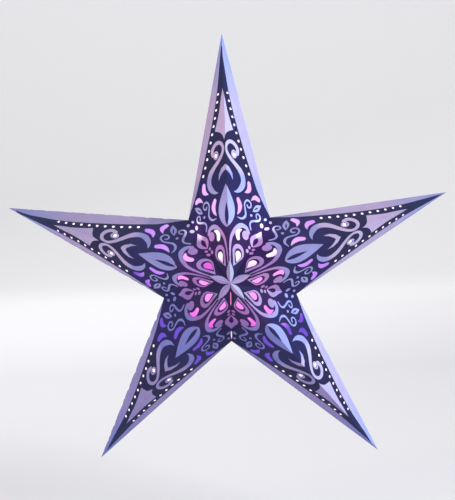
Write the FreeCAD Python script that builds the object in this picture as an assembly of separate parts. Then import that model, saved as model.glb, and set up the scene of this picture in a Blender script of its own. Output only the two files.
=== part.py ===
import FreeCAD, Part
import math
import os

# A hanging five-armed paper star, folded and glued up from printed card, hollow inside.
# Twenty three-cornered facets meet along ridges (apex to tip), valleys (apex to notch) and
# the outline (notch to tip). Windows are cut through every facet and backed with tissue.
# Millimetres and degrees. The star stands in the XZ plane, its front looks along -Y, and
# the origin is the tip of the upper arm, which is where it hangs.

# Star
apex_depth = 95.0
card_thickness = 0.4
tissue_thickness = 0.1

# How far each arm's tip and each notch lies from the middle. Hand glued arms are not quite
# equal.
right_arm_reach = 294.9
top_arm_reach = 304.6
left_arm_reach = 296.9
lower_left_arm_reach = 299.1
lower_right_arm_reach = 304.5
upper_right_notch_reach = 87.6
upper_left_notch_reach = 87.2
left_notch_reach = 92.4
bottom_notch_reach = 89.5
right_notch_reach = 89.4

# The arms and the notches also lean a little. Angles are counter-clockwise from +X, seen
# from the front.
right_arm_angle = 18.6
top_arm_angle = 90.0
left_arm_angle = 161.5
lower_left_arm_angle = 233.1
lower_right_arm_angle = 307.4
upper_right_notch_angle = 52.8
upper_left_notch_angle = 126.4
left_notch_angle = 198.8
bottom_notch_angle = 268.6
right_notch_angle = 339.9
arm_reaches = {
    "right": right_arm_reach,
    "top": top_arm_reach,
    "left": left_arm_reach,
    "lower_left": lower_left_arm_reach,
    "lower_right": lower_right_arm_reach,
}
arm_angles = {
    "right": right_arm_angle,
    "top": top_arm_angle,
    "left": left_arm_angle,
    "lower_left": lower_left_arm_angle,
    "lower_right": lower_right_arm_angle,
}
# Each notch is listed under the arm that comes before it, counter-clockwise.
notch_reaches = {
    "right": upper_right_notch_reach,
    "top": upper_left_notch_reach,
    "left": left_notch_reach,
    "lower_left": bottom_notch_reach,
    "lower_right": right_notch_reach,
}
notch_angles = {
    "right": upper_right_notch_angle,
    "top": upper_left_notch_angle,
    "left": left_notch_angle,
    "lower_left": bottom_notch_angle,
    "lower_right": right_notch_angle,
}

# The windows are laid out on one flat facet: x runs along the ridge from the apex, y runs
# across from the ridge. The layout stretches with the facet that it is cut into.
layout_ridge = 314.7
layout_notch_x = 97.5
layout_notch_y = 86.5

# Folds fall a little beside the print, so on each arm the windows lie off the layout: along
# the ridge by one amount near the apex and another near the tip, and across it towards the
# arm's left side. This drift dies out towards the valleys, below a share of the way to the tip.
print_drifts = {
    "right": (0.0, 8.0, -0.5),
    "top": (-5.0, -4.5, 2.6),
    "left": (-2.5, 0.5, 4.0),
    "lower_left": (-0.5, 0.5, 0.6),
    "lower_right": (-1.0, -1.5, 0.0),
}
drift_blend = 0.2

# Teardrop window: its point, the centre of its round end and that end's radius
drop_point = (29.5, 14.0)
drop_centre = (39.3, 18.2)
drop_radius = 5.0
drop_steps = 6

# Comma windows: start, pull and end of the middle line, then the widths along it
comma_pink = ((62.0, 20.3), (70.8, 17.3), (74.0, 27.5), (7.6, 8.0, 2.0))
comma_inner = ((94.5, 22.0), (107.0, 31.0), (113.5, 21.8), (1.0, 9.0, 6.5))
comma_middle = ((124.3, 38.0), (128.5, 52.0), (138.0, 46.8), (1.0, 9.0, 6.5))
comma_outer = ((116.7, 51.0), (125.5, 60.0), (117.8, 67.2), (1.0, 8.0, 6.0))
comma_steps = 3

# Bead windows: a row of small square holes along the outline, and one at the scroll's head
bead_row = ((149.8, 47.5), (197.3, 21.0), (244.8, 9.6))
bead_count = 11
bead_radius = 2.1
bead_corners = 4
spot_centre = (168.5, 18.5)
spot_radius = 2.3
spot_corners = 5

# Tissue sheets: each lies inside one arm, across its ridge. The points run from the ridge
# near the apex round to the ridge near the tip.
pink_sheet = ((24.0, 0.0), (24.0, 16.0), (42.0, 33.0), (80.0, 33.0), (80.0, 0.0))
violet_sheet = ((89.0, 0.0), (89.0, 46.0), (111.0, 73.0), (129.0, 67.0), (145.0, 50.0), (145.0, 0.0))
white_sheet = ((146.5, 0.0), (146.5, 53.0), (197.0, 31.0), (250.0, 13.5), (250.0, 0.0))
sheets = {"pink": pink_sheet, "violet": violet_sheet, "white": white_sheet}

# The one seam that is tied, not glued, gapes in two places along its valley. The upper gap
# is placed from the apex and the lower one from the notch.
seam_notch = "lower_left"
upper_gap_start = 17.0
upper_gap_length = 32.0
lower_gap_start = 3.2
lower_gap_length = 22.0
seam_half_gap = 0.9
seam_taper = 5.0

flat_enough = 1e-7
arm_names = list(arm_angles)
depth_signs = {"front": -1.0, "back": 1.0}


def star_point(radius, angle, depth=0.0):
    """A point of the star from its radius, angle and depth, with the upper tip at the origin."""
    turn = math.radians(angle)
    return FreeCAD.Vector(radius * math.cos(turn), depth, radius * math.sin(turn) - top_arm_reach)


def arm_before(name):
    """The arm that comes before this one, counter-clockwise."""
    return arm_names[arm_names.index(name) - 1]


def facet_corners(arm, side, face, tip_in=0.0, notch_in=0.0, apex_in=0.0):
    """Apex, notch and tip of one facet, each moved inwards by its own amount."""
    valley = arm if side == "left" else arm_before(arm)
    apex = star_point(0.0, 0.0, depth_signs[face] * (apex_depth - apex_in))
    notch = star_point(notch_reaches[valley] - notch_in, notch_angles[valley])
    tip = star_point(arm_reaches[arm] - tip_in, arm_angles[arm])
    return apex, notch, tip


def facet_normal(corners, face):
    """The facet's unit normal, pointing out of the star."""
    apex, notch, tip = corners
    normal = (notch - apex).cross(tip - apex)
    normal.normalize()
    return normal if normal.y * depth_signs[face] > 0 else normal * -1.0


def facet_keys():
    """Every facet of the star as (arm, side, face)."""
    return [(arm, side, face) for arm in arm_names for side in ("left", "right") for face in depth_signs]


def inward_moves(thickness):
    """How far tip, notch and apex move in so that the facets between them move by a thickness."""
    leans = {"tip": [], "notch": [], "apex": []}
    for arm, side, face in facet_keys():
        corners = facet_corners(arm, side, face)
        normal = facet_normal(corners, face)
        centre = star_point(0.0, 0.0)
        leans["apex"].append(normal.dot((corners[0] - centre).normalize()))
        leans["notch"].append(normal.dot((corners[1] - centre).normalize()))
        leans["tip"].append(normal.dot((corners[2] - centre).normalize()))
    return {"%s_in" % name: thickness * len(values) / sum(values) for name, values in leans.items()}


def drifted(point, arm, side):
    """A layout point moved with the print of its arm; points on the ridge stay on it."""
    near, far, slip = print_drifts[arm]
    tip_share = (point[0] - point[1] * layout_notch_x / layout_notch_y) / layout_ridge
    weight = min(max(tip_share / drift_blend, 0.0), 1.0)
    along = near + (far - near) * point[0] / layout_ridge
    across = slip if side == "left" else -slip
    if point[1] == 0.0:
        across = 0.0
    return (point[0] + weight * along, point[1] + weight * across)


def on_facet(corners, point):
    """The layout point (x, y) as a point in space on a facet with these corners."""
    apex, notch, tip = corners
    across = point[1] / layout_notch_y
    along = (point[0] - across * layout_notch_x) / layout_ridge
    return apex + (notch - apex) * across + (tip - apex) * along


def on_curve(start, pull, end, share):
    """A point on the quadratic curve from start to end."""
    rest = 1.0 - share
    weights = (rest * rest, 2.0 * rest * share, share * share)
    return tuple(sum(w * p[axis] for w, p in zip(weights, (start, pull, end))) for axis in (0, 1))


def comma_outline(comma):
    """A comma window: pointed at its start, blunt at its end."""
    start, pull, end, widths = comma
    upper = []
    lower = []
    for step in range(comma_steps + 1):
        share = step / comma_steps
        x, y = on_curve(start, pull, end, share)
        run_x = (1.0 - share) * (pull[0] - start[0]) + share * (end[0] - pull[0])
        run_y = (1.0 - share) * (pull[1] - start[1]) + share * (end[1] - pull[1])
        length = math.hypot(run_x, run_y)
        half = 0.5 * on_curve((widths[0], 0.0), (2.0 * widths[1] - 0.5 * (widths[0] + widths[2]), 0.0),
                              (widths[2], 0.0), share)[0]
        upper.append((x - half * run_y / length, y + half * run_x / length))
        lower.append((x + half * run_y / length, y - half * run_x / length))
    return upper + lower[::-1]


def drop_outline():
    """The teardrop window: two straight sides from its point to a round end."""
    reach_x = drop_centre[0] - drop_point[0]
    reach_y = drop_centre[1] - drop_point[1]
    heading = math.atan2(reach_y, reach_x)
    opening = math.pi - math.acos(drop_radius / math.hypot(reach_x, reach_y))
    turns = [heading + opening * (1.0 - 2.0 * step / drop_steps) for step in range(drop_steps + 1)]
    rounded = [(drop_centre[0] + drop_radius * math.cos(turn), drop_centre[1] + drop_radius * math.sin(turn))
               for turn in turns]
    return [drop_point] + rounded


def round_outline(centre, radius, corners):
    """A small window with a few even corners."""
    turns = [2.0 * math.pi * step / corners for step in range(corners)]
    return [(centre[0] + radius * math.cos(turn), centre[1] + radius * math.sin(turn)) for turn in turns]


def window_outlines():
    """Every window of one facet, as outlines in the layout."""
    outlines = [drop_outline(), round_outline(spot_centre, spot_radius, spot_corners)]
    for comma in (comma_pink, comma_inner, comma_middle, comma_outer):
        outlines.append(comma_outline(comma))
    for bead in range(bead_count):
        centre = on_curve(*bead_row, bead / (bead_count - 1))
        outlines.append(round_outline(centre, bead_radius, bead_corners))
    return outlines


def beside_seam(arm, side):
    """Whether this facet lies along the seam's valley."""
    valley = arm if side == "left" else arm_before(arm)
    return valley == seam_notch


def seam_gap_outlines(corners):
    """The edge of each seam gap on one facet, from the valley into the facet and back."""
    apex, notch, tip = corners
    valley = notch - apex
    length = valley.Length
    valley.normalize()
    inwards = tip - apex
    inwards = inwards - valley * inwards.dot(valley)
    inwards.normalize()
    upper_reach = (upper_gap_start, upper_gap_start + upper_gap_length)
    lower_reach = (length - lower_gap_start - lower_gap_length, length - lower_gap_start)
    gaps = []
    for low, high in (upper_reach, lower_reach):
        low_inner = apex + valley * (low + seam_taper) + inwards * seam_half_gap
        high_inner = apex + valley * (high - seam_taper) + inwards * seam_half_gap
        gaps.append(((low / length, None), (None, low_inner), (None, high_inner), (high / length, None)))
    return gaps


def flat_face(outer, holes=()):
    """A flat face from its outline and the outlines of its holes."""
    wires = [Part.makePolygon(list(points) + [points[0]]) for points in [outer] + list(holes)]
    return Part.makeFace(wires, "Part::FaceMakerBullseye")


def wall_faces(outer, inner, closed=True):
    """Faces that join two matching rows of points, flat where four points allow it."""
    faces = []
    count = len(outer)
    for index in range(count if closed else count - 1):
        following = (index + 1) % count
        a, b, c, d = outer[index], outer[following], inner[following], inner[index]
        normal = (b - a).cross(d - a)
        normal.normalize()
        if abs(normal.dot(c - a)) < flat_enough:
            faces.append(flat_face([a, b, c, d]))
        else:
            faces.append(flat_face([a, b, c]))
            faces.append(flat_face([a, c, d]))
    return faces


def onto_plane(point, direction, corners):
    """The point moved along a direction until it meets the plane of three corners."""
    apex, notch, tip = corners
    normal = (notch - apex).cross(tip - apex)
    return point + direction * (normal.dot(apex - point) / normal.dot(direction))


def closed_solid(faces):
    """One solid from the faces that enclose it."""
    solid = Part.Solid(Part.Shell(faces))
    if solid.Volume < 0:
        solid.reverse()
    return solid


def star_shell():
    """The folded card: outer and inner skins joined by the walls of windows and seam gaps."""
    moves = inward_moves(card_thickness)
    windows = window_outlines()
    faces = []
    for arm, side, face in facet_keys():
        outer_corners = facet_corners(arm, side, face)
        inner_corners = facet_corners(arm, side, face, **moves)
        normal = facet_normal(outer_corners, face)
        outer_edge = [outer_corners[0]]
        inner_edge = [inner_corners[0]]
        if beside_seam(arm, side):
            for gap in seam_gap_outlines(outer_corners):
                outer_gap = []
                inner_gap = []
                for share, place in gap:
                    if place is None:
                        outer_gap.append(outer_corners[0] + (outer_corners[1] - outer_corners[0]) * share)
                        inner_gap.append(inner_corners[0] + (inner_corners[1] - inner_corners[0]) * share)
                    else:
                        outer_gap.append(place)
                        inner_gap.append(onto_plane(place, normal, inner_corners))
                faces += wall_faces(outer_gap, inner_gap, closed=False)
                outer_edge += outer_gap
                inner_edge += inner_gap
        outer_edge += outer_corners[1:]
        inner_edge += inner_corners[1:]
        outer_holes = [[on_facet(outer_corners, drifted(point, arm, side)) for point in outline]
                       for outline in windows]
        inner_holes = [[onto_plane(point, normal, inner_corners) for point in hole] for hole in outer_holes]
        faces.append(flat_face(outer_edge, outer_holes))
        faces.append(flat_face(inner_edge, inner_holes))
        for outer_hole, inner_hole in zip(outer_holes, inner_holes):
            faces += wall_faces(outer_hole, inner_hole)
    return closed_solid(faces)


def tissue_sheet(outline, arm, face):
    """A sheet of tissue glued behind the windows of one arm, folded along its ridge."""
    outer_moves = inward_moves(card_thickness)
    inner_moves = inward_moves(card_thickness + tissue_thickness)
    faces = []
    for side in ("left", "right"):
        near = facet_corners(arm, side, face, **outer_moves)
        far = facet_corners(arm, side, face, **inner_moves)
        normal = facet_normal(near, face)
        moved = [drifted(point, arm, side) for point in outline]
        near_edge = [on_facet(near, point) for point in moved]
        far_edge = [onto_plane(point, normal, far) for point in near_edge]
        for end in (0, -1):
            share = moved[end][0] / layout_ridge
            far_edge[end] = far[0] + (far[2] - far[0]) * share
        faces.append(flat_face(near_edge))
        faces.append(flat_face(far_edge))
        faces += wall_faces(near_edge, far_edge, closed=False)
    return closed_solid(faces)


def save(name, shape):
    """Writes one piece and says what it is."""
    shape.exportStep("parts/%s.step" % name)
    print("%-28s valid %s volume %.1f mm3" % (name, shape.isValid(), shape.Volume))


os.makedirs("parts", exist_ok=True)
save("star_shell", star_shell())
for face in depth_signs:
    for arm in arm_names:
        for colour, outline in sheets.items():
            save("%s_tissue_%s_%s" % (colour, arm, face), tissue_sheet(outline, arm, face))
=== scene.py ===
# %% [markdown]
# A folded paper star, dressed for a picture. The real star is printed card, cut with small
# windows, folded and glued into a hollow five-armed shell and lit from inside. The solid
# model gives its size and place, so the first step loads it.

# %% Load the solid model
import bmesh
import bpy
import math
import numpy as np
from mathutils import Matrix, Vector
from mathutils.geometry import delaunay_2d_cdt


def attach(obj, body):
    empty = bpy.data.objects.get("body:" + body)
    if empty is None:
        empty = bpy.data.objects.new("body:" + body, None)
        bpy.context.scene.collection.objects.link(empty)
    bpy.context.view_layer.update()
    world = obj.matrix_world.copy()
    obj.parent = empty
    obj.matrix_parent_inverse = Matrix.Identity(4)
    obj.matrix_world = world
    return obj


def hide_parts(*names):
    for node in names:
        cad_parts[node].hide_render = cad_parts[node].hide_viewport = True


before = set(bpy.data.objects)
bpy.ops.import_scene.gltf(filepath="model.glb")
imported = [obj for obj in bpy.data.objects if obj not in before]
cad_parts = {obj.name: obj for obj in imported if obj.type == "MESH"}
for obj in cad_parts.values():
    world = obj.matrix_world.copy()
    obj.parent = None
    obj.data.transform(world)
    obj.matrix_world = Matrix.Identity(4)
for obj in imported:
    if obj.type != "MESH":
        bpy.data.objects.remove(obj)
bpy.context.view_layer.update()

# %% [markdown]
# The star has five arms and five notches between them, and it rises to an apex in front and
# at the back. Every facet is a triangle: apex, notch and tip. The angles are uneven by a
# degree or two, as hand glued paper is, and the picture looks right only if they stay so.
# Lengths are in millimetres here, because paper is drawn that way, and become metres last.

# %% Main sizes of the star
apex_depth = 95.0
card_thickness = 0.4
arm_reaches = {"right": 294.9, "top": 304.6, "left": 296.9, "lower_left": 299.1, "lower_right": 304.5}
arm_angles = {"right": 18.6, "top": 90.0, "left": 161.5, "lower_left": 233.1, "lower_right": 307.4}
notch_reaches = {"right": 87.6, "top": 87.2, "left": 92.4, "lower_left": 89.5, "lower_right": 89.4}
notch_angles = {"right": 52.8, "top": 126.4, "left": 198.8, "lower_left": 268.6, "lower_right": 339.9}
arm_names = list(arm_angles)
depth_signs = {"front": -1.0, "back": 1.0}


def star_point(radius, angle, depth=0.0):
    """A point of the star, with the upper tip at the origin."""
    turn = math.radians(angle)
    return Vector((radius * math.cos(turn), depth, radius * math.sin(turn) - arm_reaches["top"]))


def valley_beside(arm, side):
    """The valley along a facet, named after the arm that comes before it, counter-clockwise."""
    return arm if side == "left" else arm_names[arm_names.index(arm) - 1]


def facet_corners(arm, side, face, inwards=(0.0, 0.0, 0.0)):
    """Apex, notch and tip of one facet, each moved inwards by its own amount."""
    valley = valley_beside(arm, side)
    apex = star_point(0.0, 0.0, depth_signs[face] * (apex_depth - inwards[0]))
    notch = star_point(notch_reaches[valley] - inwards[1], notch_angles[valley])
    tip = star_point(arm_reaches[arm] - inwards[2], arm_angles[arm])
    return apex, notch, tip


def facet_normal(corners, face):
    """The facet's unit normal, pointing out of the star."""
    apex, notch, tip = corners
    normal = (notch - apex).cross(tip - apex).normalized()
    return normal if normal.y * depth_signs[face] > 0 else -normal


facet_keys = [(arm, side, face) for arm in arm_names for side in ("left", "right") for face in depth_signs]
print("facets", len(facet_keys))

# %% [markdown]
# Moving the three corners inwards by the right amounts moves the whole facet in by the card's
# thickness, so the inner skin keeps its folds exactly behind the outer ones.

# %% Inner skin
centre = star_point(0.0, 0.0)
leans = []
for key in facet_keys:
    corners = facet_corners(*key)
    normal = facet_normal(corners, key[2])
    leans.append([normal.dot((corner - centre).normalized()) for corner in corners])
inward = tuple(card_thickness / value for value in np.mean(leans, axis=0))
print("corner moves for the inner skin, mm", [round(value, 3) for value in inward])

# %% [markdown]
# All twenty facets carry the same drawing, mirrored from one to the next. It is drawn once
# on a flat sheet: x runs along the ridge from the apex and y runs across from the ridge.
# Scrolls and tendrils are brush strokes, so the first helpers make a smooth line through a few
# points, and a ribbon of changing width along it. A Bezier curve with a bevel could do this
# too, but plain outlines are what the cutting step needs later.

# %% Smooth lines and ribbons
layout_tip = 314.7
layout_notch = (97.5, 86.5)
drawing_step = 1.4


def smooth_line(points, spacing=drawing_step):
    """Points along a smooth line through the given ones; further columns, like width, go along."""
    data = np.array(points, dtype=float)
    padded = np.vstack([2 * data[0] - data[1], data, 2 * data[-1] - data[-2]])
    line = []
    for index in range(1, len(padded) - 2):
        before, start, end, after = padded[index - 1:index + 3]
        count = max(2, int(np.hypot(*(end - start)[:2]) / spacing))
        for share in np.arange(count) / count:
            line.append(0.5 * (2 * start + (end - before) * share
                               + (2 * before - 5 * start + 4 * end - after) * share ** 2
                               + (3 * start - before - 3 * end + after) * share ** 3))
    line.append(data[-1])
    return np.array(line)


def ribbon(points):
    """An outline that follows (x, y, width) points, with round ends."""
    line = smooth_line(points)
    run = np.gradient(line[:, :2], axis=0)
    run /= np.linalg.norm(run, axis=1)[:, None]
    side = np.column_stack([-run[:, 1], run[:, 0]])
    half = 0.5 * np.maximum(line[:, 2:3], 0.3)
    upper = line[:, :2] + side * half
    lower = line[:, :2] - side * half
    turns = np.radians(np.arange(-60, 61, 30))[:, None]
    end_cap = line[-1, :2] + half[-1] * (run[-1] * np.cos(turns) - side[-1] * np.sin(turns))
    start_cap = line[0, :2] - half[0] * (run[0] * np.cos(turns) - side[0] * np.sin(turns))
    return np.vstack([upper, end_cap, lower[::-1], start_cap])


print("lines drawn in steps of", drawing_step, "mm")

# %% [markdown]
# Leaves, spots and drops have plain shapes, so each comes from a formula: a bulge between two
# points, an ellipse, and two straight sides that touch a circle.

# %% Leaves, ovals and drops
def leaf(start, end, half_width, widest=0.5, fullness=1.0):
    """A shape pointed at both ends, widest at a share of its length."""
    start = np.array(start, dtype=float)
    run = np.array(end, dtype=float) - start
    length = np.hypot(*run)
    side = np.array([-run[1], run[0]]) / length
    shares = np.linspace(0.0, 1.0, max(8, int(length / drawing_step)))[:, None]
    bend = math.log(0.5) / math.log(widest)
    half = half_width * np.sin(math.pi * shares ** bend).clip(0.0) ** fullness
    upper = start + run * shares + side * half
    lower = start + run * shares - side * half
    return np.vstack([upper, lower[-2:0:-1]])


def oval(centre_point, radius_x, radius_y=None, lean=0.0):
    """A round or oval spot."""
    radius_y = radius_y or radius_x
    count = max(10, int(2 * math.pi * max(radius_x, radius_y) / drawing_step))
    turns = np.arange(count) * 2 * math.pi / count
    x = radius_x * np.cos(turns)
    y = radius_y * np.sin(turns)
    return np.column_stack([centre_point[0] + x * math.cos(lean) - y * math.sin(lean),
                            centre_point[1] + x * math.sin(lean) + y * math.cos(lean)])


def teardrop(point, round_centre, radius):
    """Two straight sides from a point to a round end."""
    point = np.array(point, dtype=float)
    reach = np.array(round_centre, dtype=float) - point
    heading = math.atan2(reach[1], reach[0])
    opening = math.pi - math.acos(radius / np.hypot(*reach))
    turns = heading + np.linspace(opening, -opening, max(12, int(2 * opening * radius / drawing_step)))
    rounded = np.array(round_centre) + radius * np.column_stack([np.cos(turns), np.sin(turns)])
    return np.vstack([point, rounded])


print("points on an oval of 5 mm", len(oval((0, 0), 5.0)))

# %% [markdown]
# Some ornament follows the valley and not the ridge, and some crosses the ridge. Two more
# helpers place a shape by its distance down the valley, and mirror a half over the ridge.

# %% Places on the sheet
def from_valley(points):
    """Turns (distance down the valley, distance off it) into layout points."""
    length = math.hypot(*layout_notch)
    down = np.array(layout_notch) / length
    off = np.array([down[1], -down[0]])
    return [tuple(down * s + off * d) for s, d in points]


def whole(half):
    """A shape that crosses the ridge, from its half that runs from ridge to ridge."""
    half = np.array(half, dtype=float)
    return np.vstack([half, half[-2:0:-1] * (1, -1)])


print("notch on the sheet", from_valley([(math.hypot(*layout_notch), 0)]))

# %% [markdown]
# The sheet is printed in dark ink over pale card, and the ink stops short of the outline, so
# a plain pale margin frames every arm. The ink runs out to a thin dart on the ridge.

# %% Ink field
ink_edge = [(97.5, 87.2), (115, 74.5), (130, 64.5), (150, 53.5), (170, 43), (190, 33.5), (210, 24.5),
            (230, 17.0), (250, 11.0), (270, 6.8), (290, 2.8), (303, -0.4)]
ink_field = np.vstack([smooth_line(ink_edge, 3.0), [(304, -6), (-6, -6), (-6, 2), (92, 90)]])
print("ink edge points", len(ink_edge))

# %% [markdown]
# The pale ornament is ordinary scroll and leaf work of the kind used on lanterns and tiles.
# Each piece of it is a closed outline, and the pieces overlap freely: what is drawn later
# covers what was drawn before.

# %% Petals, leaves and scrolls
pale_shapes = {
    "centre_petal": leaf((0, 0), (28.5, 0), 7.0),
    "drop_ring": teardrop((23.5, 7.5), (43.0, 18.5), 10.8),
    "big_curl": ribbon([(28, 2.5, 1), (40, 2.8, 2.5), (52, 4.3, 3.6), (62, 7, 4.6), (70, 12.5, 5.5),
                        (76.5, 20, 6.2), (79.5, 27, 6.4), (79, 33.5, 5.8), (76, 38.5, 5.5), (71, 40.8, 5.5)]),
    "curl_head": oval((67, 34.5), 6.3),
    "big_leaf": leaf((74.5, 0), (128.5, 0), 16.0, 0.42),
    "small_leaf": leaf((101, 51.5), (111.5, 69.5), 4.25),
    "dot": oval((95.5, 48.5), 1.75, 2.5),
    "upper_tendril": ribbon([(76, 46, 2.4), (82.5, 44.5, 2.8), (86.8, 47.3, 3), (88.5, 53.5, 3),
                             (89.3, 60, 3), (91, 64.5, 2.8), (94.5, 66.3, 2.6), (98, 64, 2.4),
                             (98.8, 60.5, 2.3), (96.5, 58, 2.2), (93.3, 58.7, 2.2)]),
    "lower_tendril": ribbon([(90, 21.5, 1), (89, 28.5, 2.5), (91, 34, 3.5), (95.5, 37.5, 3.3), (102, 37, 2.8),
                             (108, 35.8, 2.5), (113, 38.3, 2.5), (115, 43, 2.4), (113.3, 47.8, 2.3),
                             (109, 49.3, 2.2), (105.8, 46.8, 2.2), (105.8, 42.8, 2.2), (108.5, 41.3, 2.2)]),
    "heart_scroll": ribbon([(120.5, 15.5, 0.5), (122.5, 22.5, 4), (127.5, 29.5, 7.5), (134, 34, 9),
                            (141, 34.3, 9), (148, 30.5, 8.5), (154, 23, 6.5), (160, 13.5, 5.5),
                            (166, 6.3, 5), (172, 3.2, 4.5), (178, 4.5, 4.5), (182, 9, 4.5), (183, 15, 5),
                            (180.5, 21.5, 5.5), (175.5, 25.8, 6), (170.5, 25, 6)]),
    "scroll_head": oval((168.3, 18.3), 5.4),
    "chevron": whole([(153, 0), (149.5, 8), (143, 13.5), (135, 14), (141, 9.5), (144.5, 4), (146, 0)]),
    "spearhead": whole(np.vstack([smooth_line([(184, 0), (190, 3), (194, 7), (196.5, 12), (199, 18.5)])[:-1],
                                  smooth_line([(199, 18.5), (210, 13), (222, 8), (235, 4.5), (249, 0)])])),
    "valley_spade": smooth_line(from_valley([(69.5, -1), (70, 2.5), (72.5, 6.8), (76.5, 9.6), (81, 9.6),
                                             (86, 7.6), (92, 4.2), (101, 0), (100, -1)])),
    "valley_bud_near": oval(from_valley([(58.5, 3.5)])[0], 2.7),
    "valley_bud_far": oval(from_valley([(65.3, 3.5)])[0], 2.3),
    "notch_bud_near": oval(from_valley([(107.8, 4.5)])[0], 3.3),
    "notch_bud_far": oval(from_valley([(120.5, 4.5)])[0], 3.2, 1.8, math.radians(75)),
}
for name in ("big_curl", "heart_scroll"):
    pale_shapes[name + "_across"] = pale_shapes[name] * (1, -1)
ink_details = {
    "drop_gap": teardrop((26.5, 11), (41, 18.5), 7.0),
    "leaf_slit": leaf((77, 0), (106, 0), 3.8, 0.42),
    "small_leaf_slit": leaf((103.5, 54), (108, 64), 1.0),
    "spade_slit": leaf(*from_valley([(71.5, 0), (88, 0)]), 3.5),
}
print("pale shapes", len(pale_shapes), "ink details", len(ink_details))

# %% [markdown]
# The windows are knife cut. The drop, four commas and a row of punched beads let the light
# out, and each has tissue glued behind it. They stand where the solid model has them, but
# with rounder ends than its plain corners, and a touch fuller.

# %% Windows
windows = {
    "drop": teardrop((29.2, 13.8), (39.5, 18.3), 5.4),
    "comma_pink": ribbon([(62.3, 20.0, 7.0), (67.5, 19.4, 8.2), (71.8, 22, 6.4), (74.2, 27.4, 2.4)]),
    "comma_inner": ribbon([(93.4, 21.0, 1.0), (99.4, 25.2, 6.2), (106.0, 26.8, 8.8), (112.1, 23.8, 7.6)]),
    "comma_middle": ribbon([(124.0, 37.0, 1.0), (127.0, 43.6, 6.2), (131.3, 47.0, 8.8), (137.0, 46.9, 7.6)]),
    "comma_outer": ribbon([(116.2, 50.2, 1.0), (120.1, 55.5, 5.8), (121.0, 60.2, 8.0), (118.9, 65.3, 7.0)]),
    "scroll_spot": oval((168.5, 18.5), 2.9),
}
bead_row = np.array([(149.8, 47.5), (197.3, 21.0), (244.8, 9.6)])
for bead in range(11):
    share = bead / 10
    weights = np.array([(1 - share) ** 2, 2 * share * (1 - share), share ** 2])
    windows["bead_%02d" % bead] = oval(weights @ bead_row, 2.3)
print("windows", len(windows))

# %% [markdown]
# Where the one tied seam gapes, the card is let back from the valley. Those two slivers are
# cut away like windows, on the four facets that lie along the seam only.

# %% Seam gaps
valley_length = math.hypot(notch_reaches["lower_left"], apex_depth)
stretch = math.hypot(*layout_notch) / valley_length
gap_reaches = ((17.0, 49.0), (valley_length - 25.2, valley_length - 3.2))
seam_gaps = {}
for number, (low, high) in enumerate(gap_reaches):
    row = [(low, -0.5), (low, 0), (low + 5, 0.9), (high - 5, 0.9), (high, 0), (high, -0.5)]
    seam_gaps["gap_%d" % number] = np.array(from_valley([(s * stretch, d) for s, d in row]))
print("seam gaps", len(seam_gaps))

# %% [markdown]
# The drawing never sits quite in the middle of an arm, because folds fall a little beside the
# print. On each arm it is moved along the ridge, by one amount near the apex and another near
# the tip, and sideways over the ridge. The move dies out towards the valleys, where the
# drawings of two arms meet.

# %% Print drift
print_drifts = {"right": (0.0, 8.0, -0.5), "top": (-5.0, -4.5, 2.6), "left": (-2.5, 0.5, 4.0),
                "lower_left": (-0.5, 0.5, 0.6), "lower_right": (-1.0, -1.5, 0.0)}
drift_blend = 0.2


def drifted(outline, arm, side):
    """An outline moved with the print of its arm."""
    near, far, slip = print_drifts[arm]
    tips = (outline[:, 0] - outline[:, 1] * layout_notch[0] / layout_notch[1]) / layout_tip
    weight = np.clip(tips / drift_blend, 0, 1)
    along = near + (far - near) * outline[:, 0] / layout_tip
    across = slip if side == "left" else -slip
    return outline + np.column_stack([weight * along, weight * across])


print("drifts", print_drifts)

# %% [markdown]
# The glued edge of the left arms has been knocked about, so their outline is nibbled in
# places, by up to a millimetre. Front and back share that edge, so both move alike.

# %% Worn edges
worn_edges = {("left", "left"): 0.5, ("left", "right"): 0.6, ("lower_left", "right"): 1.0}


def edge_wear(arm, side, tips, apexes):
    """How far each point near the outline moves in, for one facet, in mm."""
    depth = worn_edges.get((arm, side), 0.0)
    place = tips * 83.0
    wander = 0.6 * np.sin(place * 0.71 + 0.4) + 0.4 * np.sin(place * 1.37) + 0.35 * np.sin(place * 2.3 + 2.0)
    ends = np.clip(8 * tips, 0, 1) * np.clip(8 * (1 - tips), 0, 1)
    return depth * np.clip(wander, 0, 1) * ends * np.clip(1 - apexes / 0.06, 0, 1)


print("worn edges", len(worn_edges))

# %% [markdown]
# The drawing has to say of any spot on the sheet whether it is ink, pale print or a hole. That
# comes down to one question: does a closed outline go round the spot?

# %% Inside or outside
MARGIN, INK, PALE, CARD, EDGE, CUT = range(6)


def is_inside(outline, points):
    """Whether each point lies inside a closed outline, counted by its turns round the point."""
    start = outline[None, :, :] - points[:, None, :]
    end = np.roll(outline, -1, axis=0)[None, :, :] - points[:, None, :]
    cross = start[..., 0] * end[..., 1] - start[..., 1] * end[..., 0]
    upward = (start[..., 1] <= 0) & (end[..., 1] > 0) & (cross > 0)
    downward = (start[..., 1] > 0) & (end[..., 1] <= 0) & (cross < 0)
    return (upward.sum(axis=1) - downward.sum(axis=1)) != 0


print("the apex is inked", is_inside(ink_field, np.array([(1.0, 0.5)]))[0])

# %% [markdown]
# On paper the layers lie in the order of work: ink, pale ornament, ink lines on top of it,
# and last the knife. The list keeps that order, with each outline moved by its arm's drift.

# %% Painted outlines
def painted_outlines(arm, side):
    """Everything drawn and cut on one facet, in the order in which it is laid down."""
    painted = [(INK, drifted(ink_field, arm, side))]
    for name, outline in pale_shapes.items():
        painted.append((PALE, outline if name == "centre_petal" else drifted(outline, arm, side)))
    painted += [(INK, drifted(outline, arm, side)) for outline in ink_details.values()]
    painted += [(CUT, drifted(outline, arm, side)) for outline in windows.values()]
    if valley_beside(arm, side) == "lower_left":
        painted += [(CUT, outline) for outline in seam_gaps.values()]
    return [(kind, outline) for kind, outline in painted if outline[:, 1].max() > 0.2]


print("outlines on one facet", len(painted_outlines("top", "left")))

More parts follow.
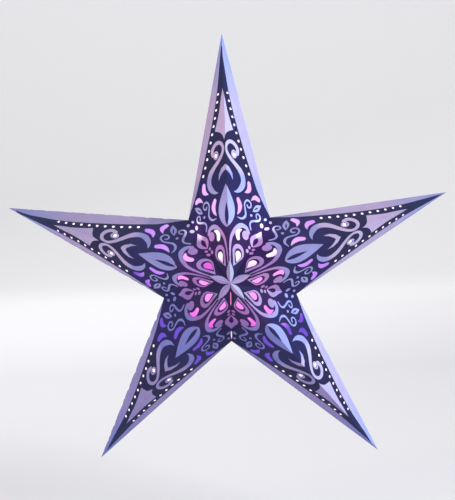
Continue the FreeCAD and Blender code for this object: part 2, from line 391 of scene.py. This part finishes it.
# %% [markdown]
# Now the drawing becomes a mesh. Every outline goes into one triangulation as an edge that
# must be kept, with a loose grid of points between them so that the sheet can bend a little.
# Each triangle then asks which outline covers its middle, and the last one drawn wins. An
# image texture could carry the print too, but real edges stay sharp from close by.

# %% Sheet of triangles
grid_step = 6.5
side_points = 90


def sheet_of_triangles(arm, side):
    """One facet's flat sheet: its points, its triangles and what is printed on each."""
    facet = np.array([(0, 0), layout_notch, (layout_tip, 0)])
    points = []
    edges = []
    painted = painted_outlines(arm, side)
    rows = [np.linspace(facet[i], facet[(i + 1) % 3], side_points, endpoint=False) for i in range(3)]
    for outline in [np.vstack(rows)] + [outline for _, outline in painted]:
        first = len(points)
        points += [tuple(point) for point in outline]
        edges += [(first + i, first + (i + 1) % len(outline)) for i in range(len(outline))]
    grid = [(x, y) for x in np.arange(4, 312, grid_step) for y in np.arange(3, 84, grid_step)]
    grid = np.array(grid)
    points += [tuple(point) for point in grid[is_inside(facet, grid)]]
    result = delaunay_2d_cdt([Vector(point) for point in points], edges, [], 0, 1e-5)
    flat = np.array([tuple(point) for point in result[0]])
    triangles = np.array([list(face) for face in result[2]])
    middles = flat[triangles].mean(axis=1)
    keep = is_inside(facet, middles)
    triangles = triangles[keep]
    middles = middles[keep]
    prints = np.full(len(triangles), MARGIN)
    for kind, outline in painted:
        prints[is_inside(outline, middles)] = kind
    return flat, triangles[prints != CUT], prints[prints != CUT]


sheets = {(arm, side): sheet_of_triangles(arm, side) for arm in arm_names for side in ("left", "right")}
print("triangles on each facet", [len(sheet[1]) for sheet in sheets.values()])

# %% [markdown]
# Each facet is painted lighter or darker, warmer or cooler, as the light falls on it: a painted
# shade and sheen. Each gets two named colours for this, one near the apex and one past it, and
# they are kept with the mesh, so that one material serves all facets.

# %% Painted facet shading
# Painted light and shade: each colour lightens, darkens or tints a whole facet for how the light falls on it.
facet_shading_colours = {"plain": (0.95, 1.0, 1.08), "rosy": (1.05, 0.93, 1.1), "warm": (0.94, 0.86, 0.88),
         "bright": (1.35, 1.28, 1.25), "icy": (1.28, 1.8, 1.45), "cool": (1.1, 1.3, 1.45),
         "soft": (0.84, 0.83, 0.9), "dim": (0.68, 0.68, 0.76), "dusky": (0.57, 0.58, 0.79)}
painted_facet_shading = {("right", "left"): ("plain", "soft"), ("right", "right"): ("bright", "plain"),
               ("top", "left"): ("warm", "warm"), ("top", "right"): ("icy", "cool"),
               ("left", "left"): ("rosy", "soft"), ("left", "right"): ("plain", "dim"),
               ("lower_left", "left"): ("rosy", "dusky"), ("lower_left", "right"): ("soft", "dusky"),
               ("lower_right", "left"): ("icy", "cool"), ("lower_right", "right"): ("rosy", "dusky")}
shading_change = (58.0, 84.0)


def corner_shading(arm, side, along):
    """The facet's painted shade and sheen at some distance along the ridge: one near the apex, one past it.
    """
    near, far = (np.array(facet_shading_colours[name]) for name in painted_facet_shading[arm, side])
    share = np.clip((along - shading_change[0]) / (shading_change[1] - shading_change[0]), 0, 1)[:, None]
    return np.column_stack([near + (far - near) * share, np.ones(len(along))])


print("facet_shading_colours", len(facet_shading_colours), "for", len(painted_facet_shading), "facets of each face")

# %% [markdown]
# A spot on the sheet is told by its shares of apex, notch and tip: the same shares find it on
# every folded facet. The edges of the holes are those that only one triangle uses, away from
# the facet's own sides. They get walls later, as thick as the card.

# %% Shares and open edges
def open_edges(flat, triangles):
    """Edges that only one triangle uses and that don't lie on the facet's own three sides."""
    pairs = np.vstack([triangles[:, [0, 1]], triangles[:, [1, 2]], triangles[:, [2, 0]]])
    _, index, counts = np.unique(np.sort(pairs, axis=1), axis=0, return_index=True, return_counts=True)
    once = pairs[index[counts == 1]]
    shares = sheet_shares(flat)
    on_side = (np.abs(shares[once]) < 1e-4).all(axis=1).any(axis=1)
    return once[~on_side]


def sheet_shares(flat):
    """Each flat point as shares of apex, notch and tip."""
    notch = flat[:, 1] / layout_notch[1]
    tip = (flat[:, 0] - notch * layout_notch[0]) / layout_tip
    return np.column_stack([1 - notch - tip, notch, tip])


print("shares of the notch", sheet_shares(np.array([layout_notch]))[0])

# %% [markdown]
# Real card puffs out a little between its folds, so the middle of each facet rises by over
# half a millimetre, never inwards, where the tissue lies. The three shares' product is one
# twenty-seventh in the middle and nothing on a fold, which makes it a handy measure for that.

# %% Puffed paper
puff = 0.6
puff_scale = 27
puff_unevenness = 0.35
puff_wave = 17.0


def paper_rise(number, arm, side, flat, corners, normal):
    """How far each point of a facet moves off its plane, and inwards where the edge is worn."""
    shares = sheet_shares(flat)
    rise = puff_scale * np.clip(shares, 0, None).prod(axis=1)
    rise = puff * rise * (1 + puff_unevenness * np.sin(flat[:, 0] / puff_wave + 2.1 * number))
    outline_run = np.array(corners[2] - corners[1])
    off_edge = np.array([-outline_run[2], 0.0, outline_run[0]]) / np.hypot(outline_run[0], outline_run[2])
    off_edge *= np.sign(off_edge @ np.array(star_point(0.0, 0.0) - corners[1]))
    return rise[:, None] * normal + edge_wear(arm, side, shares[:, 2], shares[:, 0])[:, None] * off_edge


def turned_outwards(flat, triangles, corners, normal):
    """The facet's triangles, with their corners in the order that faces out of the star."""
    a, b, c = np.array(corners)
    flips = np.dot(np.cross(b - a, c - a), normal) > 0
    outer = triangles if flips else triangles[:, ::-1]
    sample = flat[triangles[0]]
    turn = np.cross(sample[1] - sample[0], sample[2] - sample[0])
    return outer[:, ::-1] if turn > 0 else outer


print("puff", puff, "mm")

# %% [markdown]
# The flat sheet is now laid on each of the twenty facets, first outside and then inside, and
# the cut edges are walled between the two skins.

# %% Fold the star
vertices = []
faces = []
face_prints = []
corner_shadings = []
along_values = []
across_values = []
for number, (arm, side, face) in enumerate(facet_keys):
    flat, triangles, prints = sheets[arm, side]
    shares = sheet_shares(flat)
    outer_corners = facet_corners(arm, side, face)
    inner_corners = facet_corners(arm, side, face, inward)
    normal = np.array(facet_normal(outer_corners, face))
    rise = paper_rise(number, arm, side, flat, outer_corners, normal)
    first = len(vertices)
    for corners in (outer_corners, inner_corners):
        vertices += list(shares @ np.array(corners) + rise)
        along_values += list(flat[:, 0])
        across_values += list(flat[:, 1])
    outer = turned_outwards(flat, triangles, outer_corners, normal)
    faces += [tuple(row + first) for row in outer]
    face_prints += list(prints)
    faces += [tuple(row + first + len(flat)) for row in outer[:, ::-1]]
    face_prints += [CARD] * len(outer)
    walls = open_edges(flat, outer)
    for start, end in walls:
        faces.append((start + first, start + first + len(flat), end + first + len(flat), end + first))
        face_prints.append(EDGE)
    corners_used = np.concatenate([outer.ravel(), outer[:, ::-1].ravel(), walls[:, [0, 0, 1, 1]].ravel()])
    corner_shadings.append(corner_shading(arm, side, flat[corners_used, 0]))
print("vertices", len(vertices), "faces", len(faces))

# %% [markdown]
# The facets meet point for point, because they all carry the same sheet, so merging by
# distance joins them into one folded shell. Each point remembers where it was on the flat
# sheet: the finishes use that to follow the drawing. Folds stay sharp and the rest is smooth.

# %% Join the star
mesh = bpy.data.meshes.new("printed_star")
mesh.from_pydata([tuple(np.array(point) / 1000) for point in vertices], [], faces)
mesh.polygons.foreach_set("material_index", face_prints)
for name, values in (("along", along_values), ("across", across_values)):
    mesh.attributes.new(name, "FLOAT", "POINT").data.foreach_set("value", values)
# The painted shade and sheen of each facet goes with the mesh, one colour per corner.
shading_layer = mesh.attributes.new("painted_shading", "FLOAT_COLOR", "CORNER")
shading_layer.data.foreach_set("color", np.vstack(corner_shadings).ravel())
printed_star = bpy.data.objects.new("printed_star", mesh)
bpy.context.scene.collection.objects.link(printed_star)
joined = bmesh.new()
joined.from_mesh(mesh)
bmesh.ops.remove_doubles(joined, verts=joined.verts[:], dist=0.00001)
bmesh.ops.delete(joined, geom=[vertex for vertex in joined.verts if not vertex.link_faces], context="VERTS")
joined.to_mesh(mesh)
joined.free()
mesh.shade_smooth()
mesh.set_sharp_from_angle(angle=math.radians(18))
mesh.calc_loop_triangles()
print("star triangles", len(mesh.loop_triangles))
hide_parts("star_shell")
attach(printed_star, "root")

# %% [markdown]
# Colours are picked as they look on a screen and turned into the linear values that the
# shaders want. Four more helpers save much wiring: a node with its sockets set, a mix of two
# colours, a ramp of colours along a measured value, and the distance from a spot. The lamp's
# place is where a bulb would hang, and the glow fades away from it.

# %% Colour helpers
lamp_place = (0.010, -0.02, -0.246)


def screen(red, green, blue):
    """A screen colour as linear values."""
    values = [v / 12.92 if v <= 0.04045 else ((v + 0.055) / 1.055) ** 2.4 for v in (red, green, blue)]
    return (*values, 1.0)


def new_node(material, kind, **inputs):
    """A node with some of its sockets set."""
    node = material.node_tree.nodes.new(kind)
    for name, value in inputs.items():
        node.inputs[name.replace("_", " ")].default_value = value
    return node


def mixed(material, factor, first, second, blend="MIX"):
    """Mixes two colours, given as sockets or values."""
    node = material.node_tree.nodes.new("ShaderNodeMix")
    node.data_type = "RGBA"
    node.blend_type = blend
    for index, value in ((0, factor), (6, first), (7, second)):
        if isinstance(value, bpy.types.NodeSocket):
            material.node_tree.links.new(value, node.inputs[index])
        else:
            node.inputs[index].default_value = value
    return node.outputs[2]


def ramp(material, factor, low, high, stops):
    """Colours along a measured value, from its low to its high."""
    span = new_node(material, "ShaderNodeMapRange", From_Min=low, From_Max=high)
    material.node_tree.links.new(factor, span.inputs["Value"])
    node = material.node_tree.nodes.new("ShaderNodeValToRGB")
    material.node_tree.links.new(span.outputs["Result"], node.inputs["Fac"])
    elements = node.color_ramp.elements
    elements.remove(elements[-1])
    elements[0].position = (stops[0][0] - low) / (high - low)
    elements[0].color = stops[0][1]
    for value, colour in stops[1:]:
        elements.new((value - low) / (high - low)).color = colour
    return node.outputs["Color"]


def distance_from(material, spot):
    """How far a point of the surface is from a spot, in metres."""
    place = material.node_tree.nodes.new("ShaderNodeTexCoord")
    node = material.node_tree.nodes.new("ShaderNodeVectorMath")
    node.operation = "DISTANCE"
    material.node_tree.links.new(place.outputs["Object"], node.inputs[0])
    node.inputs[1].default_value = spot
    return node.outputs["Value"]


print("lamp place", lamp_place)

# %% [markdown]
# Each finish starts from the same plain paper: matt, with a faint fibre grain. The grain is a
# bump from fine noise, which costs nothing, where modelled fibres would be far too small.

# %% Paper finish
def paper(name, roughness=0.75, grain=0.25):
    """A matt paper material with fibre grain; gives back the material and its shader."""
    material = bpy.data.materials.new(name)
    material.use_nodes = True
    shader = material.node_tree.nodes["Principled BSDF"]
    shader.inputs["Roughness"].default_value = roughness
    shader.inputs["Specular IOR Level"].default_value = 0.25
    place = material.node_tree.nodes.new("ShaderNodeTexCoord")
    fibre = new_node(material, "ShaderNodeTexNoise", Scale=420.0, Detail=4.0, Roughness=0.65)
    bump = new_node(material, "ShaderNodeBump", Strength=grain, Distance=0.0004)
    material.node_tree.links.new(place.outputs["Object"], fibre.inputs["Vector"])
    material.node_tree.links.new(fibre.outputs["Fac"], bump.inputs["Height"])
    material.node_tree.links.new(bump.outputs["Normal"], shader.inputs["Normal"])
    return material, shader


print("paper helper ready for", len(bpy.data.materials), "materials so far")

# %% [markdown]
# Printed card lets a little light through, and it takes the colour of the tissue behind it:
# pink near the apex, then violet, then plain. The ramp below follows the sheet's own "along"
# value, so the change falls where the tissue ends. The light through the card is painted in as
# a glow, and each facet's painted shade and sheen is multiplied in. Two painted highlights stand near the
# upper valleys.

# %% Printed card
highlight_share = 0.8
highlight_depth = -18.0


def printed(name, petal, near, middle, far, tip, toned, glow_tint, through):
    """A printed area: its colour on the petals, over pink, violet and white, and at the tip."""
    material, shader = paper(name)
    links = material.node_tree.links
    along = material.node_tree.nodes.new("ShaderNodeAttribute")
    along.attribute_name = "along"
    colour = ramp(material, along.outputs["Fac"], 0.0, 320.0,
                  [(24.0, petal), (34.0, near), (66.0, near), (84.0, middle), (138.0, middle), (147.0, far),
                   (230.0, far), (290.0, tip)])
    mottle = new_node(material, "ShaderNodeTexNoise", Scale=38.0, Detail=5.0)
    mottle_and_shading = ramp(material, mottle.outputs["Fac"], 0.0, 1.0,
                [(0.3, (0.86, 0.86, 0.88, 1)), (0.7, (1.0, 1.0, 1.0, 1))])
    # Each facet's painted shade and sheen, kept with the mesh, darkens, lightens or tints the colour, along
    # with the random mottle.
    painted_shading = material.node_tree.nodes.new("ShaderNodeAttribute")
    painted_shading.attribute_name = "painted_shading"
    toned = mixed(material, toned, (1, 1, 1, 1), painted_shading.outputs["Color"])
    mottle_and_shading = mixed(material, 1.0, mottle_and_shading, toned, "MULTIPLY")
    colour = mixed(material, 1.0, colour, mottle_and_shading, "MULTIPLY")
    links.new(colour, shader.inputs["Base Color"])
    tint = ramp(material, along.outputs["Fac"], 0.0, 320.0,
                [(24.0, screen(0.85, 0.80, 0.92)), (34.0, screen(1.0, 0.64, 0.90)),
                 (62.0, screen(1.0, 0.66, 0.92)), (82.0, screen(0.80, 0.78, 0.98)),
                 (138.0, screen(0.82, 0.80, 0.98)), (147.0, screen(0.94, 0.87, 0.97))])
    fade = ramp(material, distance_from(material, lamp_place), 0.0, 0.32,
                [(0.040, (0.5, 0.5, 0.5, 1)), (0.060, (0.30, 0.30, 0.30, 1)), (0.080, (0.2, 0.2, 0.2, 1)),
                 (0.17, (0.16, 0.16, 0.16, 1)), (0.21, (0.06, 0.06, 0.06, 1)), (0.27, (0.02, 0.02, 0.02, 1))])
    glow = mixed(material, 1.0, tint, fade, "MULTIPLY")
    # Painted highlights: two bright spots added to the glow near the upper valleys.
    for valley in ("right", "top"):
        spot = star_point(highlight_share * notch_reaches[valley], notch_angles[valley], highlight_depth) / 1000
        painted_highlight = ramp(material, distance_from(material, spot), 0.0, 0.1,
                     [(0.011, screen(0.95, 0.92, 0.88)), (0.020, (0, 0, 0, 1))])
        glow = mixed(material, 1.0, glow, painted_highlight, "ADD")
    glow = mixed(material, 1.0, glow, glow_tint, "MULTIPLY")
    glow = mixed(material, 1.0, glow, toned, "MULTIPLY")
    links.new(glow, shader.inputs["Emission Color"])
    shader.inputs["Emission Strength"].default_value = through
    return material


print("gleams at", highlight_share, "of a valley's reach")

# %% [markdown]
# Five finishes cover the star: plain margin, navy ink, pale print, the bare inner side and the
# cut edge. Ink lets almost no light through, and the pale print lets the most through.

# %% Printed finishes
margin_finish = printed("plain_margin", screen(0.64, 0.62, 0.78), screen(0.64, 0.62, 0.78),
                        screen(0.66, 0.63, 0.78), screen(0.71, 0.65, 0.79), screen(0.60, 0.62, 0.82),
                        1.0, (1, 1, 1, 1), 0.25)
ink_finish = printed("navy_ink", screen(0.14, 0.11, 0.29), screen(0.17, 0.11, 0.31),
                     screen(0.13, 0.13, 0.33), screen(0.12, 0.13, 0.28), screen(0.13, 0.18, 0.35),
                     0.4, (0.35, 0.08, 0.8, 1), 0.07)
pale_finish = printed("pale_print", screen(0.58, 0.50, 0.69), screen(0.52, 0.42, 0.65),
                      screen(0.55, 0.55, 0.77), screen(0.72, 0.65, 0.79), screen(0.72, 0.65, 0.79),
                      1.0, (1, 1, 1, 1), 0.75)
card_finish, card_shader = paper("bare_card")
card_shader.inputs["Base Color"].default_value = screen(0.60, 0.50, 0.62)
# The inner side gets a painted pink glow, standing for the lamp's light falling on it.
card_shader.inputs["Emission Color"].default_value = screen(1.0, 0.55, 0.66)
card_shader.inputs["Emission Strength"].default_value = 0.55
edge_finish, edge_shader = paper("cut_edge")
edge_shader.inputs["Base Color"].default_value = screen(0.30, 0.22, 0.45)
for finish in (margin_finish, ink_finish, pale_finish, card_finish, edge_finish):
    mesh.materials.append(finish)
print("finishes", [finish.name for finish in mesh.materials])

# %% [markdown]
# The tissue behind the windows is what really shines. It is the solid model's own sheet,
# which needs only a finish: brighter near the lamp, deeper in colour away from it, with the
# cloudy look that thin paper has against a light. Behind one drop of the left arm it lies
# double, and there it is a deep magenta.

# %% Tissue finishes
def tissue(name, strength, stops, doubled=None):
    """Lit tissue: its colours at growing distances from the lamp, in metres."""
    material, shader = paper(name, 0.85, 0.4)
    colour = ramp(material, distance_from(material, lamp_place), 0.0, 0.3, stops)
    cloud = new_node(material, "ShaderNodeTexNoise", Scale=90.0, Detail=3.0)
    soft = ramp(material, cloud.outputs["Fac"], 0.0, 1.0,
                [(0.25, (0.8, 0.8, 0.85, 1)), (0.65, (1.0, 1.0, 1.0, 1))])
    colour = mixed(material, 1.0, colour, soft, "MULTIPLY")
    if doubled:
        layer = ramp(material, distance_from(material, doubled), 0.0, 0.1,
                     [(0.009, (0.75, 0.25, 0.75, 1)), (0.013, (1, 1, 1, 1))])
        colour = mixed(material, 1.0, colour, layer, "MULTIPLY")
    unlit = mixed(material, 1.0, colour, (0.5, 0.5, 0.5, 1), "MULTIPLY")
    material.node_tree.links.new(unlit, shader.inputs["Base Color"])
    material.node_tree.links.new(colour, shader.inputs["Emission Color"])
    shader.inputs["Emission Strength"].default_value = strength
    return material


tissues = {
    "pink": tissue("pink_tissue", 0.78,
                   [(0.060, screen(1.0, 0.97, 0.98)), (0.075, screen(1.0, 0.66, 0.95)),
                    (0.11, screen(0.99, 0.56, 0.93)), (0.13, screen(0.90, 0.34, 0.86))],
                   doubled=(-0.025, -0.072, -0.2865)),
    "violet": tissue("violet_tissue", 0.72,
                     [(0.07, screen(0.92, 0.72, 0.99)), (0.10, screen(0.79, 0.56, 0.98)),
                      (0.13, screen(0.73, 0.50, 0.96)), (0.142, screen(0.42, 0.30, 0.78))]),
    "white": tissue("white_tissue", 1.1, [(0.17, screen(1.0, 0.98, 0.98)), (0.28, screen(0.96, 0.95, 0.98))]),
}
dressed = 0
for name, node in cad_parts.items():
    colour = name.split("_")[0]
    if colour in tissues:
        node.data.materials.clear()
        node.data.materials.append(tissues[colour])
        dressed += 1
print("tissue sheets dressed", dressed)

# %% [markdown]
# The star hangs over a pale floor that sweeps up well behind it, as in a photographer's bay,
# so there is room to walk round it. The sweep is plain and matt, so that nothing competes with
# the printed card.

# %% Floor and backdrop
def new_math(material, operation, first, second):
    """A math node on two sockets or values."""
    node = material.node_tree.nodes.new("ShaderNodeMath")
    node.operation = operation
    for index, value in enumerate((first, second)):
        if isinstance(value, bpy.types.NodeSocket):
            material.node_tree.links.new(value, node.inputs[index])
        else:
            node.inputs[index].default_value = value
    return node.outputs["Value"]


floor_height = -0.66
floor_back = 2.4
sweep_radius = 1.2
sweep_profile = [(-3.0, 0.0), (floor_back, 0.0)]
sweep_profile += [(floor_back + sweep_radius * math.sin(turn), sweep_radius * (1 - math.cos(turn)))
                  for turn in np.linspace(0.1, math.pi / 2, 14)]
sweep_profile += [(floor_back + sweep_radius, 3.4)]
sweep_points = [(x, y, floor_height + z) for y, z in sweep_profile for x in (-4.0, 4.0)]
sweep_faces = [(2 * i, 2 * i + 1, 2 * i + 3, 2 * i + 2) for i in range(len(sweep_profile) - 1)]
sweep_mesh = bpy.data.meshes.new("sweep")
sweep_mesh.from_pydata(sweep_points, [], sweep_faces)
sweep_mesh.shade_smooth()
sweep = bpy.data.objects.new("sweep", sweep_mesh)
bpy.context.scene.collection.objects.link(sweep)
print("floor at", floor_height)

# %% [markdown]
# The sweep's finish is plain pale paper without grain. Its far end gets little light from the
# lamps, so what the camera or a mirror sees of it is lifted, more and more towards the wall.
# The lift lights nothing else.

# %% Pale finish of the sweep
sweep_lift = 0.35
lift_start = 1.05
lift_full = 2.1
sweep_finish, sweep_shader = paper("pale_floor", 0.9, 0.0)
sweep_shader.inputs["Base Color"].default_value = screen(0.86, 0.86, 0.87)
sweep_shader.inputs["Emission Color"].default_value = (1, 1, 1, 1)
light_path = sweep_finish.node_tree.nodes.new("ShaderNodeLightPath")
seen = light_path.outputs["Is Camera Ray"]
for other in ("Is Glossy Ray", "Is Transmission Ray"):
    seen = new_math(sweep_finish, "MAXIMUM", seen, light_path.outputs[other])
sweep_place = sweep_finish.node_tree.nodes.new("ShaderNodeTexCoord")
sweep_axes = sweep_finish.node_tree.nodes.new("ShaderNodeSeparateXYZ")
sweep_finish.node_tree.links.new(sweep_place.outputs["Object"], sweep_axes.inputs["Vector"])
lift = new_node(sweep_finish, "ShaderNodeMapRange", From_Min=lift_start, From_Max=lift_full,
                To_Max=sweep_lift)
sweep_finish.node_tree.links.new(sweep_axes.outputs["Y"], lift.inputs["Value"])
sweep_finish.node_tree.links.new(new_math(sweep_finish, "MULTIPLY", seen, lift.outputs["Result"]),
                                 sweep_shader.inputs["Emission Strength"])
sweep_mesh.materials.append(sweep_finish)
print("lift at the wall", sweep_lift)

# %% [markdown]
# The lamps are large, so that shadows stay soft, and face the star's middle. The world gives
# the rest, so that no fold goes dark.

# %% Soft lamps
def soft_lamp(name, place, power, size, colour):
    """A large square lamp that faces the star."""
    light = bpy.data.lights.new(name, "AREA")
    light.energy = power
    light.size = size
    light.color = colour
    lamp = bpy.data.objects.new(name, light)
    bpy.context.scene.collection.objects.link(lamp)
    lamp.location = place
    lamp.rotation_euler = (star_point(0.0, 0.0) / 1000 - Vector(place)).to_track_quat("-Z", "Y").to_euler()


soft_lamp("left_lamp", (-2.2, -1.3, 0.3), 36.0, 1.2, (1.0, 0.97, 0.98))
soft_lamp("right_lamp", (1.9, -1.4, 0.8), 54.0, 1.2, (0.97, 0.98, 1.0))
soft_lamp("back_lamp", (-0.6, 1.5, 1.2), 30.0, 1.2, (1.0, 1.0, 1.0))
world = bpy.data.worlds.new("studio")
world.use_nodes = True
world.node_tree.nodes["Background"].inputs["Color"].default_value = (0.9, 0.9, 0.93, 1)
world.node_tree.nodes["Background"].inputs["Strength"].default_value = 0.36
bpy.context.scene.world = world
print("lamps", 3)

# %% [markdown]
# The camera stands a little above the star's middle and leans with it. The picture is 455 by
# 500, so the height sets the lens, and a small shift places the star as in the photograph.

# %% Camera
picture_width = 455
picture_height = 500
sensor_height = 36.0
view_distance = 1.65
view_height = math.radians(7.8)
view_turn = math.radians(0.5)
view_roll = math.radians(2.13)
aim = star_point(0.0, 0.0) / 1000
outwards = Vector((math.sin(view_turn) * math.cos(view_height),
                   -math.cos(view_turn) * math.cos(view_height), math.sin(view_height)))
camera_data = bpy.data.cameras.new("camera")
camera_data.sensor_fit = "VERTICAL"
camera_data.sensor_height = sensor_height
camera_data.lens = 92.1
camera_data.shift_x = -0.0064
camera_data.shift_y = 0.0456
camera = bpy.data.objects.new("camera", camera_data)
bpy.context.scene.collection.objects.link(camera)
look = outwards.to_track_quat("Z", "Y").to_matrix().to_4x4()
lean = Matrix.Rotation(-view_roll, 4, "Z")
camera.matrix_world = Matrix.Translation(aim + outwards * view_distance) @ look @ lean
bpy.context.scene.camera = camera
bpy.context.scene.view_settings.view_transform = "Standard"


def picture_place(point):
    """Where a point of the star falls in the picture, in pixels from its upper left corner."""
    seen = camera.matrix_world.inverted() @ point
    scale = picture_height * camera_data.lens / sensor_height
    across = picture_width / 2 + scale * seen.x / -seen.z - picture_height * camera_data.shift_x
    down = picture_height / 2 - scale * seen.y / -seen.z + picture_height * camera_data.shift_y
    return round(across, 1), round(down, 1)


for arm in arm_names:
    print(arm, "tip", picture_place(star_point(arm_reaches[arm], arm_angles[arm]) / 1000),
          "notch after it", picture_place(star_point(notch_reaches[arm], notch_angles[arm]) / 1000))
print("front apex", picture_place(star_point(0.0, 0.0, -apex_depth) / 1000))
